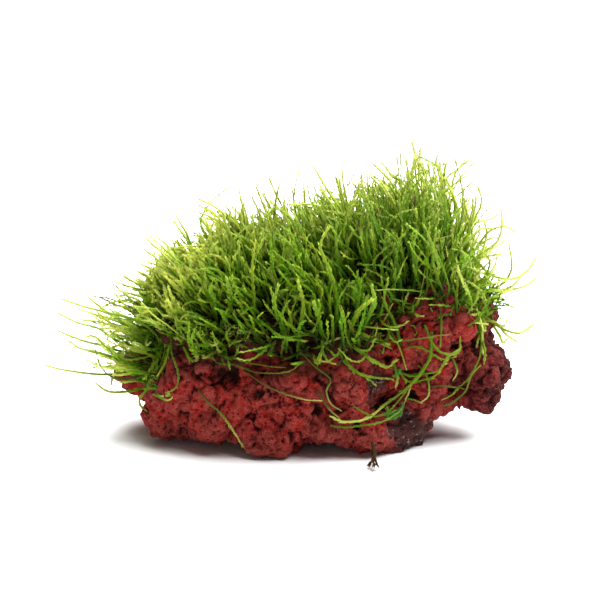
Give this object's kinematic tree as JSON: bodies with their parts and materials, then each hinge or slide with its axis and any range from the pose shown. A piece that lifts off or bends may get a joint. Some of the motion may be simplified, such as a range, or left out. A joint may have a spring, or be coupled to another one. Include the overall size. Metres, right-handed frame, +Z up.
{
  "type": "java moss on stone",
  "caption": "Java moss grown on a rough lump of red lava stone: a leaning cushion on top, a tuft at each end and single shoots trailing down the front.",
  "frame": {"origin": "under the middle of the whole object's bounding box, on the surface that the stone rests on", "axes": "+Z up, +X to the right of someone who faces the side that the shoots trail down, +Y away from them"},
  "size_m": [0.1473, 0.0877, 0.0826],
  "materials": {
    "red_lava": "rough, matt, full of open gas bubbles",
    "moss": "satin green leaflets, brighter at the tips"
  },
  "bodies": {
    "root": {"lava_stone": "red_lava", "moss_cushion": "moss", "moss_left_tuft": "moss", "moss_right_tuft": "moss", "trailing_shoot_left": "moss", "trailing_shoot_low_left": "moss", "trailing_shoot_under_moss": "moss", "trailing_shoot_middle": "moss", "trailing_shoot_centre": "moss", "trailing_shoot_right": "moss", "trailing_shoot_low_right": "moss", "trailing_shoot_right_end": "moss"}
  },
  "joints": []
}
